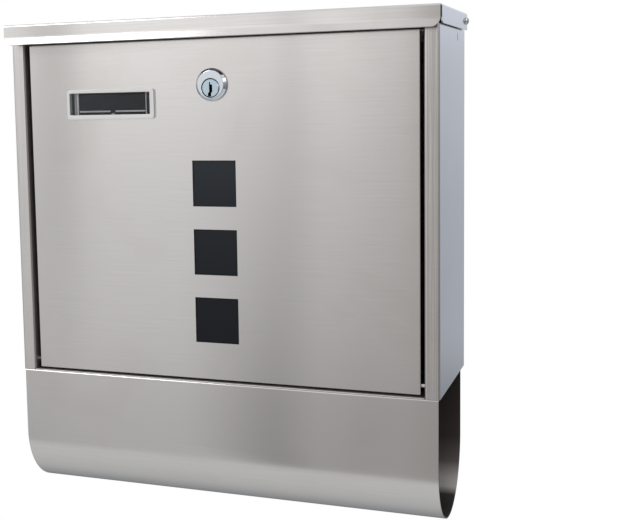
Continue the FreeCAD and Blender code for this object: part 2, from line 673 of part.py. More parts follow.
def name_plate():
    """Clear snap-in frame, its window, the card tray behind it and the dark back."""
    frame = new_body("nameplate_frame")
    proud = f"({DOOR_FACE} - sizes.plate_proud)"
    neck = "sizes.plate_rim - sizes.plate_wall"
    extrude(frame, "XZ", [plate_rectangle("0", "sizes.plate_corner")], proud, DOOR_FACE)
    extrude(frame, "XZ", [plate_rectangle(neck)], DOOR_FACE, PLATE_BACK)
    extrude(frame, "XZ", [plate_rectangle("sizes.plate_rim")], f"{proud} - 1", f"{PLATE_BACK} + 1", cut=True)
    window = new_body("nameplate_window")
    window_back = f"({WINDOW_FRONT} + sizes.plate_window_thickness)"
    extrude(window, "XZ", [plate_rectangle("sizes.plate_rim")], WINDOW_FRONT, window_back)
    tray = new_body("nameplate_tray")
    tray_back = f"({window_back} + sizes.tray_thickness)"
    extrude(tray, "XZ", [plate_rectangle("sizes.plate_rim")], window_back, tray_back)
    width = "(sizes.plate_width / 2 - sizes.plate_rim - sizes.tray_side_strip)"
    left, right = f"(sizes.plate_x - {width})", f"(sizes.plate_x + {width})"
    top = f"({PLATE_Z} + sizes.plate_height / 2)"
    ledge = f"({PLATE_Z} - sizes.plate_height / 2 + sizes.plate_rim + sizes.tray_ledge)"
    slot = f"({ledge} - sizes.tray_notch_depth)"
    half, slope = "sizes.tray_notch_width / 2", "sizes.tray_notch_depth / 2"
    card = [
        (left, ledge), (f"sizes.plate_x - {half} - {slope}", ledge),
        (f"sizes.plate_x - {half} + {slope}", slot), (f"sizes.plate_x + {half} - {slope}", slot),
        (f"sizes.plate_x + {half} + {slope}", ledge), (right, ledge), (right, top), (left, top),
    ]
    extrude(tray, "XZ", [polygon(card)], f"{window_back} - 1", f"{tray_back} + 1", cut=True)
    back = new_body("nameplate_back")
    back_end = f"{tray_back} + sizes.plate_back_thickness"
    extrude(back, "XZ", [plate_rectangle("sizes.plate_rim")], tray_back, back_end)


def lock_housing():
    """Round lock head and its barrel. The bore for the plug is below the middle of the head."""
    barrel, crown = BARREL_RADIUS, "sizes.lock_head_height"
    head = f"({barrel} + sizes.lock_head_rim)"
    soft = "sizes.lock_head_round"
    profile = [
        ("0", "-sizes.lock_barrel_length"), (barrel, "-sizes.lock_barrel_length"), (barrel, "0"), (head, "0"),
        (head, f"{crown} - {soft}"), (f"{head} - {soft}", crown), ("0", crown),
    ]
    body = turned("lock_housing", profile, {4: soft}, "-Y", "0", DOOR_FACE, LOCK_Z)
    flat = BARREL_FLAT
    beyond = f"({barrel} + 1)"
    flats = [
        rectangle(flat, f"-{beyond}", beyond, beyond),
        rectangle(f"-{beyond}", f"-{beyond}", f"-{flat}", beyond),
    ]
    extrude(body, "XY", flats, "-sizes.lock_barrel_length - 1", "0", cut=True)
    bore = circle("0", "-sizes.plug_drop", "sizes.plug_radius + sizes.hinge_slack")
    extrude(body, "XY", [bore], "-sizes.lock_barrel_length - 1", f"{crown} + 1", cut=True)
    return body


def lock_fixings():
    """Washer and nut that clamp the lock in the door."""
    bore = circle("0", "0", f"{BARREL_RADIUS} + sizes.nut_slack")
    rim = circle("0", "0", f"{BARREL_RADIUS} + sizes.washer_width")
    seat = "(-sizes.metal)"
    nut_top = f"({seat} - sizes.washer_thickness)"
    nut_base = f"({nut_top} - sizes.nut_thickness)"
    washer = new_body("lock_washer")
    extrude(washer, "XY", [rim, bore], nut_top, seat)
    nut = new_body("lock_nut")
    flat = f"({BARREL_RADIUS} + sizes.nut_wall)"
    point = f"({flat} / cos(30))"
    hexagon = [
        (point, "0"), (f"{point} / 2", flat), (f"-{point} / 2", flat), (f"-{point}", "0"),
        (f"-{point} / 2", f"-{flat}"), (f"{point} / 2", f"-{flat}"),
    ]
    extrude(nut, "XY", [polygon(hexagon), bore], nut_base, nut_top)
    for body in (washer, nut):
        aim(body, "-Y", "0", DOOR_FACE, LOCK_Z)
    doc.recompute()


def lock_works():
    """The turning plug with its keyway, and the cam held on its square tail."""
    radius, crown = "sizes.plug_radius", "sizes.lock_head_height"
    cam_top = "(-sizes.lock_barrel_length - sizes.face_slack)"
    cam_base = f"({cam_top} - sizes.cam_thickness)"
    face, chamfer = f"({crown} - sizes.plug_set_back)", "sizes.plug_chamfer"
    profile = [
        ("0", cam_top), (radius, cam_top), (radius, f"{face} - {chamfer}"), (f"{radius} - {chamfer}", face),
        ("0", face),
    ]
    plug = turned("lock_plug", profile, None, "-Y", "0", DOOR_FACE, PLUG_Z)
    square = "sizes.plug_tail"
    tail = rectangle(f"-{square}", f"-{square}", square, square)
    extrude(plug, "XY", [tail], cam_base, cam_top)
    # The keyway steps sideways twice: a narrow tip above, and the lower part set over to the left.
    left = "(sizes.keyway_offset - sizes.keyway_width / 2)"
    right = f"({left} + sizes.keyway_width)"
    tip_side = f"({left} + sizes.keyway_tip_width)"
    tip_base = "(sizes.keyway_top - sizes.keyway_tip_length)"
    over, foot = "sizes.keyway_step", "(-sizes.plug_radius + sizes.keyway_rim)"
    step_top = f"({over} / 2 - sizes.keyway_step_drop)"
    step_base = f"({step_top} - {over})"
    keyway = [
        (left, "sizes.keyway_top"), (left, step_top), (f"{left} - {over}", step_base),
        (f"{left} - {over}", foot), (f"{right} - {over}", foot), (f"{right} - {over}", step_base),
        (right, step_top), (right, tip_base), (tip_side, tip_base), (tip_side, "sizes.keyway_top"),
    ]
    extrude(plug, "XY", [polygon(keyway)], f"{crown} - sizes.keyway_depth", f"{crown} + 1", cut=True)
    screw_bore = circle("0", "0", "sizes.cam_screw_radius")
    extrude(plug, "XY", [screw_bore], f"{cam_base} - 1", f"{cam_base} + sizes.cam_screw_depth", cut=True)
    cam = new_body("lock_cam")
    end = "(sizes.cam_width / 2)"
    reach = f"(sizes.cam_length - {end})"
    extrude(cam, "XY", [rectangle(f"-{end}", f"-{end}", reach, end), tail], cam_base, cam_top)
    corners = [(x, y) for x in (f"-{end}", reach) for y in (f"-{end}", end)]
    fillet(cam, "Z", corners, f"{end} * 0.7")
    washer_base = f"({cam_base} - sizes.cam_washer_thickness)"
    washer = new_body("cam_washer")
    extrude(washer, "XY", [circle("0", "0", "sizes.cam_washer_radius"), screw_bore], washer_base, cam_base)
    screw_base = f"({washer_base} - sizes.cam_screw_head_height)"
    screw = new_body("cam_screw")
    extrude(screw, "XY", [screw_bore], washer_base, f"{cam_base} + sizes.cam_screw_depth")
    extrude(screw, "XY", [circle("0", "0", "sizes.cam_screw_head_radius")], screw_base, washer_base)
    long, wide = "sizes.cam_screw_slot_length / 2", "sizes.cam_screw_slot_width / 2"
    slot = rectangle(f"-{long}", f"-{wide}", long, wide)
    slot_end = f"{screw_base} + sizes.cam_screw_slot_depth"
    extrude(screw, "XY", [slot], f"{screw_base} - 1", slot_end, cut=True)
    for body in (cam, washer, screw):
        aim(body, "-Y", "0", DOOR_FACE, PLUG_Z)
    doc.recompute()


body_shell()
floor_pan()
top_rail()
newspaper_holder()
holder_rivets()
lid_panel()
door_panel()
window_backing()
name_plate()
for side, axis in (("left", "-X"), ("right", "X")):
    lid_hinge(side, axis)
    door_pin(side, axis)
lock_housing()
lock_fixings()
lock_works()
doc.recompute()

bodies = [item for item in doc.Objects if item.TypeId == "PartDesign::Body"]
pieces = bodies + [doc.getObject("holder_rivets")]
for item in doc.Objects:
    if {"Invalid", "Error"} & set(item.State):
        raise RuntimeError(f"{item.Name} failed: {item.State}")
for piece in pieces:
    if piece.Shape.isNull() or not piece.Shape.isValid():
        raise RuntimeError(f"{piece.Label} has no valid shape")
for piece in pieces:
    piece.Shape.exportStep(f"parts/{piece.Label}.step")
    box = piece.Shape.BoundBox
    print(
        f"{piece.Label}: {len(piece.Shape.Solids)} solids, {piece.Shape.Volume / 1000:.2f} cm3,"
        f" X {box.XMin:.1f}..{box.XMax:.1f}, Y {box.YMin:.1f}..{box.YMax:.1f},"
        f" Z {box.ZMin:.1f}..{box.ZMax:.1f}"
    )
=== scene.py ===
import math

import bmesh
import bpy
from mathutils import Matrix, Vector


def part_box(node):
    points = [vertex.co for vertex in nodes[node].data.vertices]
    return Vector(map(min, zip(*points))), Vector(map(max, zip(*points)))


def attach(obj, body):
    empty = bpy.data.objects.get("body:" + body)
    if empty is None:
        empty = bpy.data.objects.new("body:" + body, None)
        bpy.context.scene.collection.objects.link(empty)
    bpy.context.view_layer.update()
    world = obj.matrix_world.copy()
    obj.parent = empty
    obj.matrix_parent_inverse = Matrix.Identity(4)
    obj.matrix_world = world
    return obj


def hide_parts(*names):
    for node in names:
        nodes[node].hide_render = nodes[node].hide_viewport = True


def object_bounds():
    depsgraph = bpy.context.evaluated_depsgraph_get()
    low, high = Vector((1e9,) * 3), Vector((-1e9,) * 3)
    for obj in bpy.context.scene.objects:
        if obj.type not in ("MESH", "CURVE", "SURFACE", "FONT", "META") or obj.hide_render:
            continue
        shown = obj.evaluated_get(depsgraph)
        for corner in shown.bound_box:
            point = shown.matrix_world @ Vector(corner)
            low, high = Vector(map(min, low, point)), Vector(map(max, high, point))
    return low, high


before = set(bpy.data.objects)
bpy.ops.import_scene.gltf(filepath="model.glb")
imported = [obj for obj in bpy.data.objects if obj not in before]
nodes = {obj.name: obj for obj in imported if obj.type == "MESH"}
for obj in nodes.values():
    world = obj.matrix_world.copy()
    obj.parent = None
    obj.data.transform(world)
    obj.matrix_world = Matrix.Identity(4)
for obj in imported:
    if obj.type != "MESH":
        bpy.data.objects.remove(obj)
cadBox = [list(corner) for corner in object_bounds()]
mm = 0.001


def linearColour(hexColour):
    # sRGB hex to the linear colour that the shaders take
    parts = [int(hexColour[i : i + 2], 16) / 255 for i in (1, 3, 5)]
    linear = [c / 12.92 if c <= 0.04045 else ((c + 0.055) / 1.055) ** 2.4 for c in parts]
    return (*linear, 1.0)


def newMaterial(name):
    material = bpy.data.materials.new(name)
    material.use_nodes = True
    material.node_tree.nodes.clear()
    return material, material.node_tree


def addNode(tree, kind, settings=None, inputs=None, stops=()):
    # inputs maps a socket's name or number to a value or to another node's output; a ramp has stops
    node = tree.nodes.new(kind)
    for key, setting in (settings or {}).items():
        setattr(node, key, setting)
    for key, source in (inputs or {}).items():
        if isinstance(source, bpy.types.NodeSocket):
            tree.links.new(source, node.inputs[key])
        else:
            node.inputs[key].default_value = source
    if stops:
        while len(node.color_ramp.elements) < len(stops):
            node.color_ramp.elements.new(0.5)
        for element, (position, colour) in zip(node.color_ramp.elements, stops):
            element.position = position
            element.color = linearColour(colour)
    return node


def finishMaterial(tree, shader):
    addNode(tree, "ShaderNodeOutputMaterial", inputs={"Surface": shader.outputs[0]})


def streaks(tree, place, width, length, axis):
    # lines a width apart along the axis, and a length long along the other two
    scale = [1 / (width if letter == axis else length) for letter in "XYZ"]
    squeezed = addNode(tree, "ShaderNodeMapping", inputs={"Vector": place, "Scale": scale}).outputs[0]
    pattern = {"Vector": squeezed, "Scale": 1.0, "Detail": 3.0, "Roughness": 0.65}
    return addNode(tree, "ShaderNodeTexNoise", inputs=pattern).outputs[0]


def heightShare(tree, place, node):
    # 0 at the foot of a CAD node and 1 at its top
    low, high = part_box(node)
    height = addNode(tree, "ShaderNodeSeparateXYZ", inputs={"Vector": place}).outputs["Z"]
    span = {"Value": height, "From Min": low[2], "From Max": high[2]}
    return addNode(tree, "ShaderNodeMapRange", inputs=span).outputs[0]


def middle(node):
    low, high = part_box(node)
    return tuple((a + b) / 2 for a, b in zip(low, high))


# The inside of the folded sheets keeps its dull mill finish, cold rolled and pickled, so it shines
# softly and has no grain.
# In the holder its colour carries painted shade and a painted highlight: dark at the top and the
# bottom, with a bright band of painted reflection low down. The stops are shares of the holder's
# height.
millFinish = {
    "colour": "#a19d9a",
    "rubbed": [
        (0.0, "#4c4846"),
        (0.07, "#5a5654"),
        (0.11, "#f4efeb"),
        (0.16, "#e9e4e0"),
        (0.27, "#8a8582"),
        (0.45, "#5d5856"),
        (1.0, "#4a4543"),
    ],
    "roughness": 0.4,
    "metallic": 0.85,
}


def unbrushedInside(tree, place, normal, outside, hollow, rubbed):
    # faces that look at the hollow, the middle of a folded sheet's inside, get the mill finish
    s = millFinish
    colour = linearColour(s["colour"])
    # in the holder, painted shade at the top and bottom and a painted highlight band low down, set by
    # height
    if rubbed:
        share = heightShare(tree, place, "newspaper_holder")
        ramp = addNode(tree, "ShaderNodeValToRGB", inputs={"Fac": share}, stops=s["rubbed"])
        colour = ramp.outputs[0]
    away = addNode(
        tree, "ShaderNodeVectorMath", {"operation": "SUBTRACT"}, {0: place, 1: hollow}
    ).outputs[0]
    outward = addNode(
        tree, "ShaderNodeVectorMath", {"operation": "DOT_PRODUCT"}, {0: away, 1: normal}
    ).outputs["Value"]
    inner = addNode(tree, "ShaderNodeMath", {"operation": "LESS_THAN"}, {0: outward, 1: 0.0}).outputs[0]
    finish = {"Base Color": colour, "Metallic": s["metallic"], "Roughness": s["roughness"]}
    inside = addNode(tree, "ShaderNodeBsdfPrincipled", inputs=finish).outputs[0]
    return addNode(
        tree, "ShaderNodeMixShader", inputs={"Fac": inner, 1: outside.outputs[0], 2: inside}
    )


# Brushed stainless steel, 304 with a satin belt finish. The belt ran level, along the sheet, so each
# reflection smears up and down and stays fairly sharp from side to side.
brushedSteel = {
    "colour": "#d7d6d5",
    "shade": "#d2d1d0",  # down in the lines
    "roughness": 0.14,
    "roughnessSpread": 0.025,
    "anisotropy": 0.98,
    "lean": 0.02,  # tips the smear forward, so that on a level face it runs front to back
    "scratchWidth": 0.45 * mm,  # real grit marks are near 0.05 mm, drawn coarser so that they show
    "scratchLength": 45 * mm,
    "scratchDepth": 0.05 * mm,
    "scratchSpan": (0.3, 0.7),  # the noise at a line's bottom and top
    "bump": 0.005,
    "level": (0.55, 0.85),  # upward turn of a face where its lines change from a wall's to a top's
    "smudge": "#c9c6c3",
    "smudgeSize": 60 * mm,
    "smudgeSpan": (0.52, 0.72),  # the noise at a smudge's edge and heart
    "smudgeStrength": 0.35,
    # upright ripples that the press brake leaves in the sheet of the box, seen in its narrow edges
    "rippleWidth": 3.2 * mm,
    "rippleLength": 400 * mm,
    "rippleDepth": 0.12 * mm,
}


def makeBrushedSteel(name, hollow, rubbed=False, rippled=False):
    s = brushedSteel
    material, tree = newMaterial(name)
    texture = addNode(tree, "ShaderNodeTexCoord").outputs
    place, normal = texture["Object"], texture["Normal"]
    onWalls = streaks(tree, place, s["scratchWidth"], s["scratchLength"], "Z")
    onTops = streaks(tree, place, s["scratchWidth"], s["scratchLength"], "Y")
    upward = addNode(tree, "ShaderNodeSeparateXYZ", inputs={"Vector": normal}).outputs["Z"]
    turned = addNode(tree, "ShaderNodeMath", {"operation": "ABSOLUTE"}, {0: upward}).outputs[0]
    start, end = s["level"]
    lying = addNode(
        tree, "ShaderNodeMapRange", inputs={"Value": turned, "From Min": start, "From Max": end}
    ).outputs[0]
    scratches = addNode(
        tree, "ShaderNodeMix", {"data_type": "FLOAT"}, {"Factor": lying, "A": onWalls, "B": onTops}
    ).outputs[0]
    patches = {"Vector": place, "Scale": 1 / s["smudgeSize"], "Detail": 4.0, "Distortion": 0.6}
    smudges = addNode(tree, "ShaderNodeTexNoise", inputs=patches).outputs[0]
    start, end = s["smudgeSpan"]
    span = {"Value": smudges, "From Min": start, "From Max": end, "To Max": s["smudgeStrength"]}
    smudged = addNode(tree, "ShaderNodeMapRange", inputs=span).outputs[0]
    start, end = s["scratchSpan"]
    span = {"Value": scratches, "From Min": start, "From Max": end}
    grain = addNode(tree, "ShaderNodeMapRange", inputs=span).outputs[0]
    pair = {"Fac": grain, "Color1": linearColour(s["shade"]), "Color2": linearColour(s["colour"])}
    clean = addNode(tree, "ShaderNodeMixRGB", inputs=pair).outputs[0]
    pair = {"Fac": smudged, "Color1": clean, "Color2": linearColour(s["smudge"])}
    colour = addNode(tree, "ShaderNodeMixRGB", inputs=pair).outputs[0]
    # the bottoms of the lines are the rougher
    low = s["roughness"] - s["roughnessSpread"] / 2
    span = {**span, "To Min": low + s["roughnessSpread"], "To Max": low}
    roughness = addNode(tree, "ShaderNodeMapRange", inputs=span).outputs[0]
    relief = {"Strength": s["bump"], "Distance": s["scratchDepth"], "Height": scratches}
    bump = addNode(tree, "ShaderNodeBump", inputs=relief).outputs[0]
    if rippled:
        ripples = streaks(tree, place, s["rippleWidth"], s["rippleLength"], "X")
        relief = {"Strength": 1.0, "Distance": s["rippleDepth"], "Height": ripples, "Normal": bump}
        bump = addNode(tree, "ShaderNodeBump", inputs=relief).outputs[0]
    # The highlights stretch along this: up each wall, and front to back on a level face.
    stretch = addNode(
        tree, "ShaderNodeCombineXYZ", inputs={"X": 0.0, "Y": s["lean"], "Z": 1.0}
    ).outputs[0]
    outside = addNode(
        tree,
        "ShaderNodeBsdfPrincipled",
        inputs={
            "Base Color": colour,
            "Metallic": 1.0,
            "Roughness": roughness,
            "Anisotropic": s["anisotropy"],
            "Tangent": stretch,
            "Normal": bump,
        },
    )
    finishMaterial(tree, unbrushedInside(tree, place, normal, outside, hollow, rubbed))
    return material


# Small spots that shine a little more or less than the rest, on every smooth finish.
mottle = {"spot": 0.8 * mm, "least": 0.8, "most": 1.2}


def mottledRoughness(tree, place, roughness, spot):
    spots = {"Vector": place, "Scale": 1 / spot, "Detail": 2.0}
    noise = addNode(tree, "ShaderNodeTexNoise", inputs=spots).outputs[0]
    least, most = roughness * mottle["least"], roughness * mottle["most"]
    span = {"Value": noise, "To Min": least, "To Max": most}
    return addNode(tree, "ShaderNodeMapRange", inputs=span).outputs[0]


plainFinishes = {
    # Turned stainless, bright from the rivet die.
    "turnedStainless": {"colour": "#d3d3d3", "metallic": 1.0, "roughness": 0.18},
    # Chrome plate over brass: near mirror.
    "chromePlate": {"colour": "#d4dbe3", "metallic": 1.0, "roughness": 0.08},
    # Painted shadow: black in the groove round the plug and in its bore, where no light gets in.
    "lockShadow": {"colour": "#141518", "metallic": 0.0, "roughness": 0.6},
    # Zinc-plated steel, dull grey.
    "zincPlate": {"colour": "#b9bbbf", "metallic": 1.0, "roughness": 0.42},
    # Calendered black PVC sheet of the name plate: matt, a little blue, with hardly any sheen.
    "blackSheet": {"colour": "#14181e", "metallic": 0.0, "roughness": 0.5, "specular": 0.16},
    # The same sheet behind the windows, with a painted sheen of reflected light: it is coloured lighter
    # towards the top.
    "backingSheetPaintedSheen": {
        "paintedSheen": [
            (0.05, "#14181e"),
            (0.3, "#181c22"),
            (0.5, "#1e2127"),
            (0.7, "#23272c"),
            (0.95, "#2c3035"),
        ],
        "metallic": 0.0,
        "roughness": 0.5,
        "specular": 0.16,
    },
}


def makePlainFinish(name):
    s = plainFinishes[name]
    material, tree = newMaterial(name)
    place = addNode(tree, "ShaderNodeTexCoord").outputs["Object"]
    # painted sheen: the sheet behind the windows is coloured lighter towards the top
    if "paintedSheen" in s:
        share = heightShare(tree, place, "window_backing")
        ramp = addNode(tree, "ShaderNodeValToRGB", inputs={"Fac": share}, stops=s["paintedSheen"])
        colour = ramp.outputs[0]
    else:
        colour = linearColour(s["colour"])
    shader = addNode(
        tree,
        "ShaderNodeBsdfPrincipled",
        inputs={
            "Base Color": colour,
            "Metallic": s["metallic"],
            "Roughness": mottledRoughness(tree, place, s["roughness"], mottle["spot"]),
            "Specular IOR Level": s.get("specular", 0.5),
        },
    )
    finishMaterial(tree, shader)
    return material


# Satin nickel plug, pale and a little blue. Below its face the keyway gets painted shade: black, deep
# in the slot where little light gets in.
plugNickel = {
    "colour": "#bccedb",
    # the colour of the painted shade in the keyway
    "inside": "#0e0f11",
    "paintedShadeSpan": (0.35 * mm, 9.5 * mm),  # from here to here behind the face
    "roughness": 0.26,
    "spot": 0.5 * mm,
}


def makePlugFinish():
    s = plugNickel
    material, tree = newMaterial("satinNickelPlug")
    place = addNode(tree, "ShaderNodeTexCoord").outputs["Object"]
    # painted shade: the keyway below the face is coloured black and is not metallic
    depth = addNode(tree, "ShaderNodeSeparateXYZ", inputs={"Vector": place}).outputs["Y"]
    begins, ends = (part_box("lock_plug")[0][1] + distance for distance in s["paintedShadeSpan"])
    under = addNode(tree, "ShaderNodeMath", {"operation": "GREATER_THAN"}, {0: depth, 1: begins})
    above = addNode(tree, "ShaderNodeMath", {"operation": "LESS_THAN"}, {0: depth, 1: ends})
    both = {0: under.outputs[0], 1: above.outputs[0]}
    inside = addNode(tree, "ShaderNodeMath", {"operation": "MULTIPLY"}, both).outputs[0]
    pair = {"Fac": inside, "Color1": linearColour(s["colour"]), "Color2": linearColour(s["inside"])}
    colour = addNode(tree, "ShaderNodeMixRGB", inputs=pair).outputs[0]
    span = {"Value": inside, "To Min": 1.0, "To Max": 0.0}
    bare = addNode(tree, "ShaderNodeMapRange", inputs=span).outputs[0]
    shader = addNode(
        tree,
        "ShaderNodeBsdfPrincipled",
        inputs={
            "Base Color": colour,
            "Metallic": bare,
            "Roughness": mottledRoughness(tree, place, s["roughness"], s["spot"]),
        },
    )
    finishMaterial(tree, shader)
    return material


# Clear polystyrene, injection moulded and glossy. It covers what lies behind it by the share called
# facing where it is seen straight on, and by the share called edge where it is seen at a glance.
polystyrene = {
    "ior": 1.58,
    "glance": 0.35,
    "flowMarks": 3 * mm,  # marks that the plastic leaves as it fills the mould
    "flowDepth": 0.05 * mm,
    "bump": 0.05,
}
mouldings = {
    # The clear bezel is coloured milky white: painted light, for what its edges gather from the steel
    # behind.
    "bezelPaintedLight": {"colour": "#fffdfc", "roughness": 0.12, "facing": 0.72, "edge": 0.97},
    # Its short end walls get a grey copy, painted shade, where the plastic bends the light away.
    "bezelEndsPaintedShade": {"colour": "#8d9093", "roughness": 0.12, "facing": 0.6, "edge": 0.9},
    # Over the dark card a flat strip only greys it, and the ribs get a painted shine: a pale colour for
    # their highlights.
    "clearStrip": {"colour": "#c9cbd0", "roughness": 0.2, "facing": 0.3, "edge": 0.75},
    "trayRibPaintedShine": {"colour": "#eef0f2", "roughness": 0.15, "facing": 0.6, "edge": 0.9},
    # Polished sheet: almost nothing but a faint veil.
    "clearWindow": {"colour": "#f2f5f7", "roughness": 0.04, "facing": 0.008, "edge": 0.1},
    "traySheet": {"colour": "#f2f5f7", "roughness": 0.04, "facing": 0.008, "edge": 0.1},
}


def makeMoulding(name):
    plastic, s = polystyrene, mouldings[name]
    material, tree = newMaterial(name)
    place = addNode(tree, "ShaderNodeTexCoord").outputs["Object"]
    marks = {"Vector": place, "Scale": 1 / plastic["flowMarks"], "Detail": 1.0}
    flow = addNode(tree, "ShaderNodeTexNoise", inputs=marks).outputs[0]
    relief = {"Strength": plastic["bump"], "Distance": plastic["flowDepth"], "Height": flow}
    bump = addNode(tree, "ShaderNodeBump", inputs=relief).outputs[0]
    glance = addNode(tree, "ShaderNodeLayerWeight", inputs={"Blend": plastic["glance"]})
    span = {"Value": glance.outputs["Facing"], "To Min": s["facing"], "To Max": s["edge"]}
    cover = addNode(tree, "ShaderNodeMapRange", inputs=span).outputs[0]
    shader = addNode(
        tree,
        "ShaderNodeBsdfPrincipled",
        inputs={
            "Base Color": linearColour(s["colour"]),
            "Roughness": s["roughness"],
            "IOR": plastic["ior"],
            "Alpha": cover,
            "Normal": bump,
        },
    )
    finishMaterial(tree, shader)
    return material


def newPiece(name, mesh, body, replaced):
    piece = bpy.data.objects.new(name, mesh)
    bpy.context.scene.collection.objects.link(piece)
    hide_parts(replaced)
    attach(piece, body)


def roundedLoop(left, right, bottom, top, radius, y, steps=5):
    # a rounded rectangle in millimetres, anticlockwise seen from the front, in metres
    points = []
    for x, z, start in (
        (right - radius, top - radius, 0),
        (left + radius, top - radius, 90),
        (left + radius, bottom + radius, 180),
        (right - radius, bottom + radius, 270),
    ):
        for step in range(steps + 1):
            angle = math.radians(start + 90 * step / steps)
            points.append((x + radius * math.cos(angle), y, z + radius * math.sin(angle)))
    return [tuple(c * mm for c in point) for point in points]


def bridgeLoops(builder, loops, closed=False, capped=False):
    # quads between each loop and the next; closed joins the last to the first, capped fills both
    rows = [[builder.verts.new(point) for point in loop] for loop in loops]
    for near, far in zip(rows, rows[1:] + (rows[:1] if closed else [])):
        for i in range(len(near)):
            j = (i + 1) % len(near)
            builder.faces.new((near[i], near[j], far[j], far[i]))
    if capped:
        builder.faces.new(rows[0])
        builder.faces.new(rows[-1])
    return rows


sharpAngle = 40  # degrees; smooth shading stops at a sharper turn


def finishMesh(name, builder, materials, smooth=True):
    bmesh.ops.recalc_face_normals(builder, faces=builder.faces)
    for face in builder.faces:
        face.smooth = smooth
    mesh = bpy.data.meshes.new(name)
    builder.to_mesh(mesh)
    builder.free()
    for material in materials:
        mesh.materials.append(material)
    if smooth:
        mesh.set_sharp_from_angle(angle=math.radians(sharpAngle))
    return mesh


# The snap-in name plate, in millimetres. The rim is wider at its right and lower sides.
namePlate = {
    "rim": {"left": 2.4, "right": 3.5, "bottom": 3.1, "top": 2.3},
    "corner": 2.2,
    "edge": 0.6,  # rounding of the bezel's outer front edge
    "edgeTurns": (30, 60, 90),  # degrees round it
    # the end walls picked out by these two get the painted-shade grey
    "endTurn": 0.6,  # faces turned more than this to the left or right belong to the grey ends
    "endDepth": 0.9,  # and begin before this share of the rounding's depth
    "openingCorner": 0.7,
    "mouth": 0.45,  # rounding of the opening's front edge
    "mouthStep": 0.12,
    "draft": 0.12,
    "neck": 2.02,  # the part in the door's hole lies this far in from the rim
    "neckCorner": 0.6,
}


def plateBoxes():
    low, high = ([c / mm for c in corner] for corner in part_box("nameplate_frame"))
    rim = namePlate["rim"]
    outer = (low[0], high[0], low[2], high[2])
    inner = (low[0] + rim["left"], high[0] - rim["right"], low[2] + rim["bottom"], high[2] - rim["top"])
    return outer, inner, low[1], high[1]


def inset(rectangle, by):
    left, right, bottom, top = rectangle
    return (left + by, right - by, bottom + by, top - by)


def makeBezel():
    s = namePlate
    outer, inner, front, back = plateBoxes()
    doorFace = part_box("door_panel")[0][1] / mm
    edge, corner, hole = s["edge"], s["corner"], s["openingCorner"]
    mouth, mouthStep, neckCorner = s["mouth"], s["mouthStep"], s["neckCorner"]
    neck = inset(outer, s["neck"])
    loops = [roundedLoop(*outer, corner, doorFace), roundedLoop(*outer, corner, front + edge)]
    for angle in s["edgeTurns"]:
        turn = math.radians(angle)
        inward, forward = edge * (1 - math.cos(turn)), edge * (1 - math.sin(turn))
        loops.append(roundedLoop(*inset(outer, inward), corner - inward, front + forward))
    loops += [
        roundedLoop(*inset(inner, -mouth), hole + mouth, front),
        roundedLoop(*inset(inner, -mouthStep), hole + mouthStep, front + mouthStep),
        roundedLoop(*inner, hole, front + mouth),
        roundedLoop(*inset(inner, s["draft"]), hole, back),
        roundedLoop(*neck, neckCorner, back),
        roundedLoop(*neck, neckCorner, doorFace),
    ]
    builder = bmesh.new()
    bridgeLoops(builder, loops, closed=True)
    builder.normal_update()
    # end walls turned left and right take the painted-shade copy of the moulding
    for face in builder.faces:
        turned = abs(face.normal.x) > s["endTurn"]
        if turned and min(vertex.co.y for vertex in face.verts) < (front + edge * s["endDepth"]) * mm:
            face.material_index = 1
    moulded = [makeMoulding("bezelPaintedLight"), makeMoulding("bezelEndsPaintedShade")]
    mesh = finishMesh("nameplateBezel", builder, moulded)
    newPiece("nameplateBezel", mesh, "door", "nameplate_frame")


# The clear pane in the bezel, in millimetres.
pane = {
    "gap": 0.1,  # all round, in the bezel's opening
    # its softened front edge: how far in, the corner's radius, and how far behind the front
    "edge": [(0.3, 0.4, 0.0), (0.08, 0.6, 0.1), (0.0, 0.6, 0.35)],
    "corner": 0.6,
}


def makeWindow():
    _, inner, _, _ = plateBoxes()
    low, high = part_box("nameplate_window")
    front, back = low[1] / mm, high[1] / mm
    outline = inset(inner, pane["gap"])
    loops = []
    for inward, corner, behind in pane["edge"]:
        loops.append(roundedLoop(*inset(outline, inward), corner, front + behind))
    loops.append(roundedLoop(*outline, pane["corner"], back))
    builder = bmesh.new()
    bridgeLoops(builder, loops, capped=True)
    mesh = finishMesh("nameplateWindow", builder, [makeMoulding("clearWindow")])
    newPiece("nameplateWindow", mesh, "door", "nameplate_window")


# The card tray behind the pane, in millimetres: an upright strip at the left, ribs at both ends of
# the card's place, and a low ledge with a notch that lets a finger push the card out.
cardTray = {
    "gap": 0.15,  # all round, in the bezel's opening
    "strip": (2.5, 5.4),  # from the tray's left side
    "stripSunk": 0.3,
    "sheetSunk": 0.5,
    "rib": 0.55,
    "farRib": 3.4,  # from the tray's right side
    "farRibShare": 0.7,  # of the first rib's width
    "ledge": (1.7, 2.7),
    "ledgeEnds": (1.2, 0.8),  # clear of the ribs at its left and right
    "notch": 4.4,
    "notchPlace": 0.515,  # share of the way from rib to rib
    "tab": (0.45, 0.8),  # under the notch: share of the notch's width, and height
    "lip": 0.35,
    "soft": 0.12,  # rounding of the long front edges
    "softCorner": 0.02,
}


def addBar(builder, x0, x1, z0, z1, y0, y1, index):
    soft = cardTray["soft"]
    loops = [
        roundedLoop(*inset((x0, x1, z0, z1), soft), cardTray["softCorner"], y0, steps=1),
        roundedLoop(x0, x1, z0, z1, soft, y0 + soft, steps=1),
        roundedLoop(x0, x1, z0, z1, soft, y1, steps=1),
    ]
    known = set(builder.faces)
    bridgeLoops(builder, loops, capped=True)
    for face in set(builder.faces) - known:
        face.material_index = index


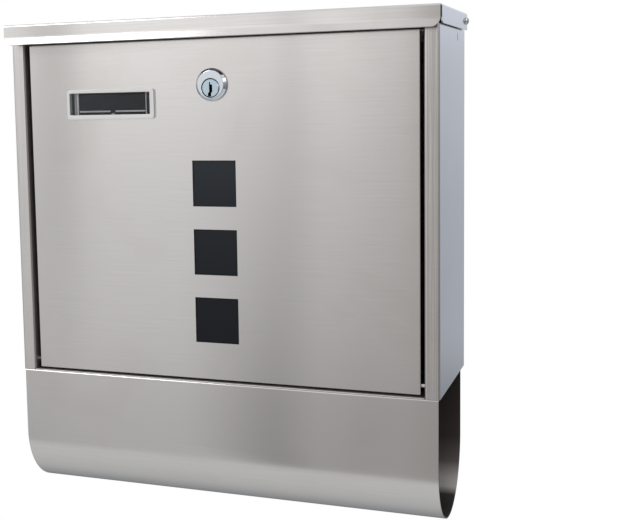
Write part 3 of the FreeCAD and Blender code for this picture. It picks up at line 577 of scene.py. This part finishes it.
def makeTray():
    s = cardTray
    _, inner, _, _ = plateBoxes()
    left, right, bottom, top = inset(inner, s["gap"])
    low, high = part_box("nameplate_tray")
    front, back = low[1] / mm, high[1] / mm
    stripLeft, stripRight = (left + distance for distance in s["strip"])
    nearRib = stripRight - s["rib"]
    farRib = right - s["farRib"]
    sheetLeft = farRib + s["rib"] * s["farRibShare"]
    ledgeLow, ledgeHigh = (bottom + height for height in s["ledge"])
    ledgeLeft, ledgeRight = stripRight + s["ledgeEnds"][0], farRib - s["ledgeEnds"][1]
    notch = stripRight + (farRib - stripRight) * s["notchPlace"]
    half = s["notch"] / 2
    tab, tabTop = half * s["tab"][0], bottom + s["tab"][1]
    sunkStrip, sunkSheet = front + s["stripSunk"], front + s["sheetSunk"]
    strip, rib, sheet = range(3)
    builder = bmesh.new()
    for x0, x1, z0, z1, y0, index in (
        (stripLeft, nearRib, bottom, top, sunkStrip, strip),
        (nearRib, stripRight, bottom, top, front, rib),
        (farRib, sheetLeft, bottom, top, front, rib),
        (sheetLeft, right, bottom, top, sunkSheet, sheet),
        (ledgeLeft, notch - half, ledgeLow, ledgeHigh, front, rib),
        (notch + half, ledgeRight, ledgeLow, ledgeHigh, front, rib),
        (notch - tab, notch + tab, bottom, tabTop, front, rib),
        (stripRight, farRib, bottom, bottom + s["lip"], sunkSheet, sheet),
    ):
        addBar(builder, x0, x1, z0, z1, y0, back, index)
    moulded = [makeMoulding(name) for name in ("clearStrip", "trayRibPaintedShine", "traySheet")]
    mesh = finishMesh("cardTray", builder, moulded, smooth=False)
    newPiece("cardTray", mesh, "door", "nameplate_tray")


# The cam lock's head and threaded barrel, in millimetres: a low dished head with a broad bevel.
lockHead = {
    "sides": 96,
    "radius": 10.95,
    "face": 9.15,
    "height": 3.35,
    "lip": 1.65,  # straight rim behind the bevel
    "soft": 0.2,  # rounding of the bevel's two edges
    "softRim": 0.3,  # shares of it that bring the bevel in at its outer edge,
    "softBrow": (0.6, 0.1),  # and down at its inner edge
    "softEnd": 0.1,  # the flat face starts this much further in
    "bevel": (0, 0.08, 0.92, 1),  # a loop just inside each of its edges keeps it flat
    "barrel": 9.9,
    "barrelStart": 0.02,  # behind the head
    "flats": 0.89,  # share of the barrel's radius where its sides are cut flat
    "pitch": 1.0,
    "thread": 0.3,
    "plain": 1.5,  # pitches left without thread next to the head
    "play": 0.05,  # round the plug
    "groove": 0.32,
    "grooveDepth": 1.2,
    "grooveEdge": 0.06,
}


def makeLockHead(chrome, shadow):
    s = lockHead
    low, high = ([c / mm for c in corner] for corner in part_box("lock_housing"))
    plugLow, plugHigh = ([c / mm for c in corner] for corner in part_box("lock_plug"))
    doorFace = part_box("door_panel")[0][1] / mm
    headZ = (low[2] + high[2]) / 2
    plugZ = (plugLow[2] + plugHigh[2]) / 2
    back = high[1]
    crown = doorFace - s["height"]
    turns = [math.tau * i / s["sides"] for i in range(s["sides"])]

    def ring(radius, y, z=headZ):
        # behind the door two sides are cut flat
        reach = s["flats"] * s["barrel"] if y > doorFace else radius
        across = [max(-reach, min(reach, radius * math.cos(turn))) for turn in turns]
        return [(x * mm, y * mm, (z + radius * math.sin(turn)) * mm) for x, turn in zip(across, turns)]

    radius, barrel, soft, pitch = s["radius"], s["barrel"], s["soft"], s["pitch"]
    bore = (plugHigh[0] - plugLow[0]) / 2 + s["play"]
    groove, grooveFloor = bore + s["groove"], crown + s["grooveDepth"]
    brow, browEnd = (crown + soft * share for share in s["softBrow"])
    outer, inner = (radius - soft * s["softRim"], doorFace - s["lip"]), (s["face"] + soft, brow)
    bevel = []
    for share in s["bevel"]:
        across, y = (a + (b - a) * share for a, b in zip(outer, inner))
        bevel.append(ring(across, y))
    loops = [ring(bore, back, plugZ), ring(barrel, back)]
    y = back - pitch / 2
    while y > doorFace + s["plain"] * pitch:
        loops += [ring(barrel - s["thread"], y), ring(barrel, y - pitch / 2)]
        y -= pitch
    loops += [
        ring(barrel, doorFace + s["barrelStart"]),
        ring(radius, doorFace),
        ring(radius, doorFace - s["lip"] + soft),
        *bevel,
        ring(s["face"], browEnd),
        ring(s["face"] - soft, crown),
        ring(s["face"] - soft - s["softEnd"], crown),
        ring(groove + s["grooveEdge"], crown, plugZ),
        ring(groove, crown + s["grooveEdge"], plugZ),
        ring(groove, grooveFloor, plugZ),
        ring(bore, grooveFloor, plugZ),
    ]
    builder = bmesh.new()
    rows = bridgeLoops(builder, loops, closed=True)
    # the groove round the plug and the bore get the painted shadow
    for vertex in rows[-2] + rows[-1]:
        for face in vertex.link_faces:
            face.material_index = 1
    mesh = finishMesh("lockHead", builder, [chrome, shadow])
    newPiece("lockHead", mesh, "door", "lock_housing")


bodySteel = makeBrushedSteel("brushedBody", middle("body_shell"), rippled=True)
holderSteel = makeBrushedSteel("brushedHolder", middle("newspaper_holder"), rubbed=True)
lidSteel = makeBrushedSteel("brushedLid", middle("lid_panel"))
doorSteel = makeBrushedSteel("brushedDoor", middle("door_panel"))
plain = {name: makePlainFinish(name) for name in plainFinishes}
rivets = ["holder_rivets", "lid_pivot_rivet_left", "lid_pivot_rivet_right"]
ringsAndPins = ["lid_spacer_left", "lid_spacer_right", "door_pin_left", "door_pin_right"]
nodeFinishes = [
    (bodySteel, ["body_shell", "floor_pan", "top_rail"]),
    (holderSteel, ["newspaper_holder"]),
    (lidSteel, ["lid_panel"]),
    (doorSteel, ["door_panel"]),
    (plain["turnedStainless"], rivets + ringsAndPins),
    (plain["backingSheetPaintedSheen"], ["window_backing"]),
    (plain["blackSheet"], ["nameplate_back"]),
    (plain["chromePlate"], ["lock_nut"]),
    (plain["zincPlate"], ["lock_washer", "lock_cam", "cam_washer", "cam_screw"]),
    (makePlugFinish(), ["lock_plug"]),
]
for material, names in nodeFinishes:
    for name in names:
        slots = nodes[name].data.materials
        slots.clear()
        slots.append(material)
print("materials on", sum(len(names) for _, names in nodeFinishes), "nodes")

makeBezel()
makeWindow()
makeTray()
makeLockHead(plain["chromePlate"], plain["lockShadow"])
print("name plate and lock head made")


# The stage: a floor of matt pale paint far below, as under a box on a wall, and white round it.
floor = {"drop": 0.9, "size": 14.0, "colour": "#f2f2f2"}  # metres
world = {"colour": "#dedede", "strength": 1.0}
white = (1, 1, 1, 1)


def seesBackground(tree):
    # one for the rays that meet the background itself: from the camera, off metal and through glass
    path = addNode(tree, "ShaderNodeLightPath").outputs
    either = {"operation": "MAXIMUM"}
    pair = {0: path["Is Camera Ray"], 1: path["Is Glossy Ray"]}
    mirrored = addNode(tree, "ShaderNodeMath", either, pair).outputs[0]
    pair = {0: mirrored, 1: path["Is Transmission Ray"]}
    return addNode(tree, "ShaderNodeMath", either, pair).outputs[0]


def makeFloor():
    mesh = bpy.data.meshes.new("floor")
    half = floor["size"] / 2
    level = cadBox[0][2] - floor["drop"]
    corners = [(x, y, level) for x, y in ((-half, -half), (half, -half), (half, half), (-half, half))]
    mesh.from_pydata(corners, [], [(0, 1, 2, 3)])
    plane = bpy.data.objects.new("floor", mesh)
    bpy.context.scene.collection.objects.link(plane)
    material, tree = newMaterial("paleFloor")
    colour = linearColour(floor["colour"])
    paint = addNode(tree, "ShaderNodeBsdfDiffuse", inputs={"Color": colour}).outputs[0]
    glow = addNode(tree, "ShaderNodeEmission", inputs={"Color": white, "Strength": 1.0}).outputs[0]
    both = {"Fac": seesBackground(tree), 1: paint, 2: glow}
    finishMaterial(tree, addNode(tree, "ShaderNodeMixShader", inputs=both))
    mesh.materials.append(material)


def makeWorld():
    studio = bpy.data.worlds.new("studio")
    bpy.context.scene.world = studio
    studio.use_nodes = True
    tree = studio.node_tree
    tree.nodes.clear()
    pair = {"Fac": seesBackground(tree), "Color1": linearColour(world["colour"]), "Color2": white}
    colour = addNode(tree, "ShaderNodeMixRGB", inputs=pair).outputs[0]
    light = addNode(
        tree, "ShaderNodeBackground", inputs={"Color": colour, "Strength": world["strength"]}
    ).outputs[0]
    addNode(tree, "ShaderNodeOutputWorld", inputs={"Surface": light})


# Grey paper round, over and under the box, hidden from the camera: only reflections show it. Degrees
# run from straight in front of the door (0) to the left (+) and right (-). Heights are shares of the
# paper's own height, and the low ring's colours blend into the high ring's between two of them.
screen = {
    "sides": 180,
    "radius": 2.9,
    "top": 3.2,
    "lift": 0.01,  # over the floor
    "margin": 0.0001,  # share of the height that counts as overhead or underfoot
    "highRing": [
        (-180, "#c2c7d1"),
        (-170, "#ccd1dc"),
        (-150, "#a5aab6"),
        (-110, "#9a9da6"),
        (-60, "#a9a6a5"),
        (-25, "#b0acaa"),
        (-8, "#ccc8c6"),
        (3, "#c0bcba"),
        (5, "#b2aeac"),
        (7, "#bfbbb9"),
        (8, "#dfdcdb"),
        (9.9, "#e9e7e6"),
        (11.6, "#f8f6f5"),
        (13.5, "#fffdfc"),
        (14.5, "#f6f4f3"),
        (15.3, "#e6e4e3"),
        (16.5, "#f9f7f6"),
        (18.6, "#fffdfc"),
        (23.1, "#fffdfc"),
        (26.9, "#fdfbfa"),
        (28.7, "#f7f5f4"),
        (29.7, "#c8c6c5"),
        (30.8, "#cfcdcc"),
        (32.3, "#f2f0ef"),
        (60, "#dcdadb"),
        (120, "#b4b9c4"),
        (180, "#c2c7d1"),
    ],
    "lowRing": [
        (-180, "#b6bcc6"),
        (-170, "#cbd0d9"),
        (-150, "#969ba6"),
        (-110, "#8d9098"),
        (-60, "#9e9b99"),
        (-25, "#a9a5a2"),
        (-8, "#dcd8d5"),
        (4, "#cfcbc9"),
        (7, "#d9d5d3"),
        (8.4, "#dfdcda"),
        (11.6, "#dad7d6"),
        (14.4, "#e5e3e2"),
        (15.4, "#d9d7d6"),
        (16, "#c4c2c1"),
        (17.3, "#c9c7c6"),
        (18.8, "#dbd9d8"),
        (20.9, "#f1efee"),
        (22.6, "#fefdfc"),
        (26.4, "#fcfaf9"),
        (29, "#fefcfb"),
        (31, "#fbf9f8"),
        (34.6, "#f4f2f1"),
        (60, "#d0cfd0"),
        (120, "#a0a4ae"),
        (180, "#b6bcc6"),
    ],
    "rings": (0.05, 0.42),  # the low ring up to the first height, the high ring from the second
    "upright": [
        (0.0, "#999999"),
        (0.05, "#9c9c9c"),
        (0.07, "#a8a8a8"),
        (0.088, "#b6b6b6"),
        (0.105, "#bebebe"),
        (0.12, "#c3c3c3"),
        (0.178, "#c3c3c3"),
        (0.25, "#c6c6c6"),
        (0.33, "#d1d1d1"),
        (0.41, "#dadada"),
        (0.44, "#eeeeee"),
        (0.5, "#fdfdfd"),
        (0.58, "#ebebeb"),
        (1.0, "#d6d6d6"),
    ],
    "above": "#d2d2d4",
    # underfoot, from the front of the room to the back; the near part takes on the low ring's colours
    "below": [
        (0.0, "#b0b0b0"),
        (0.287, "#adadad"),
        (0.3, "#bdbdbd"),
        (0.42, "#b7b7b7"),
        (0.5, "#acacac"),
        (0.58, "#8c8d8f"),
        (0.75, "#5f6468"),
        (1.0, "#5f6468"),
    ],
    "near": (0.287, 0.3),  # where the near part ends
    "strength": 1.4,
}


def makeScreen():
    s = screen
    level = cadBox[0][2] - floor["drop"]
    sides = s["sides"]
    turns = [math.tau * i / sides for i in range(sides)]
    heights = (level + s["lift"], level + s["top"])
    ring = [(s["radius"] * math.sin(turn), -s["radius"] * math.cos(turn)) for turn in turns]
    corners = [(x, y, z) for z in heights for x, y in ring]
    faces = [(i, (i + 1) % sides, sides + (i + 1) % sides, sides + i) for i in range(sides)]
    faces += [tuple(range(sides)), tuple(range(sides, 2 * sides))]
    mesh = bpy.data.meshes.new("screen")
    mesh.from_pydata(corners, [], faces)
    paper = bpy.data.objects.new("screen", mesh)
    bpy.context.scene.collection.objects.link(paper)
    for kind in ("camera", "diffuse", "transmission", "shadow", "volume_scatter"):
        setattr(paper, "visible_" + kind, False)
    material, tree = newMaterial("greyPaper")
    place = addNode(tree, "ShaderNodeTexCoord").outputs["Object"]
    axes = addNode(tree, "ShaderNodeSeparateXYZ", inputs={"Vector": place}).outputs
    span = {"Value": axes["Z"], "From Min": heights[0], "From Max": heights[1]}
    height = addNode(tree, "ShaderNodeMapRange", inputs=span).outputs[0]
    span = {"Value": axes["Y"], "From Min": -s["radius"], "From Max": s["radius"]}
    depth = addNode(tree, "ShaderNodeMapRange", inputs=span).outputs[0]
    # the walls: round the room by the two rings, and up them by the upright stops
    quarter = {"Vector": place, "Rotation": (0, 0, math.radians(90))}
    fromFront = addNode(tree, "ShaderNodeMapping", inputs=quarter).outputs[0]
    around = addNode(
        tree, "ShaderNodeTexGradient", {"gradient_type": "RADIAL"}, {"Vector": fromFront}
    ).outputs["Fac"]
    high, low = (
        addNode(
            tree,
            "ShaderNodeValToRGB",
            inputs={"Fac": around},
            stops=[(0.5 - angle / 360, colour) for angle, colour in reversed(s[name])],
        ).outputs[0]
        for name in ("highRing", "lowRing")
    )
    span = {"Value": height, "From Min": s["rings"][0], "From Max": s["rings"][1]}
    upper = addNode(tree, "ShaderNodeMapRange", inputs=span).outputs[0]
    pair = {"Fac": upper, "Color1": low, "Color2": high}
    ringColour = addNode(tree, "ShaderNodeMixRGB", inputs=pair).outputs[0]
    upright = addNode(tree, "ShaderNodeValToRGB", inputs={"Fac": height}, stops=s["upright"]).outputs[0]
    pair = {"Fac": 1.0, "Color1": ringColour, "Color2": upright}
    walls = addNode(tree, "ShaderNodeMixRGB", {"blend_type": "MULTIPLY"}, pair).outputs[0]
    # the paper overhead, and the one underfoot
    overhead = addNode(
        tree, "ShaderNodeMath", {"operation": "GREATER_THAN"}, {0: height, 1: 1 - s["margin"]}
    ).outputs[0]
    pair = {"Fac": overhead, "Color1": walls, "Color2": linearColour(s["above"])}
    covered = addNode(tree, "ShaderNodeMixRGB", inputs=pair).outputs[0]
    underfoot = addNode(
        tree, "ShaderNodeMath", {"operation": "LESS_THAN"}, {0: height, 1: s["margin"]}
    ).outputs[0]
    start, end = s["near"]
    span = {"Value": depth, "From Min": start, "From Max": end, "To Min": 1.0, "To Max": 0.0}
    near = addNode(tree, "ShaderNodeMapRange", inputs=span).outputs[0]
    below = addNode(tree, "ShaderNodeValToRGB", inputs={"Fac": depth}, stops=s["below"]).outputs[0]
    pair = {"Fac": near, "Color1": below, "Color2": low}
    ground = addNode(tree, "ShaderNodeMixRGB", {"blend_type": "MULTIPLY"}, pair).outputs[0]
    pair = {"Fac": underfoot, "Color1": covered, "Color2": ground}
    paint = addNode(tree, "ShaderNodeMixRGB", inputs=pair).outputs[0]
    glow = addNode(tree, "ShaderNodeEmission", inputs={"Color": paint, "Strength": s["strength"]})
    finishMaterial(tree, glow)
    mesh.materials.append(material)


# Soft square lamps, in metres and watts, turned toward the middle of the box.
lamps = {
    "key": {"place": (-1.22, -1.72, 1.35), "size": 0.7, "power": 9},
    "fill": {"place": (1.8, -0.8, 0.9), "size": 0.6, "power": 3},
}


def makeLamps():
    for name, s in lamps.items():
        light = bpy.data.lights.new(name, "AREA")
        light.shape = "SQUARE"
        light.size = s["size"]
        light.energy = s["power"]
        lamp = bpy.data.objects.new(name, light)
        lamp.location = s["place"]
        lamp.rotation_euler = (-Vector(s["place"])).to_track_quat("-Z", "Y").to_euler()
        bpy.context.scene.collection.objects.link(lamp)


camera = {
    "place": (0.2699, -0.7991, 0.0703),  # metres
    "turn": (84.033, 1.301, 21.729),  # degrees
    "lens": 64.331,  # millimetres, as the sensor
    "sensor": 36,
    "shift": (0.185, -0.0701),
    "nearest": 0.01,  # metres; nothing closer shows
}


def makeCamera():
    data = bpy.data.cameras.new("camera")
    data.lens = camera["lens"]
    data.sensor_width = camera["sensor"]
    data.shift_x, data.shift_y = camera["shift"]
    data.clip_start = camera["nearest"]
    view = bpy.data.objects.new("camera", data)
    view.location = camera["place"]
    view.rotation_euler = [math.radians(angle) for angle in camera["turn"]]
    bpy.context.scene.collection.objects.link(view)
    bpy.context.scene.camera = view


makeFloor()
makeWorld()
makeScreen()
makeLamps()
makeCamera()
bpy.context.scene.view_settings.view_transform = "Standard"
print("stage ready")
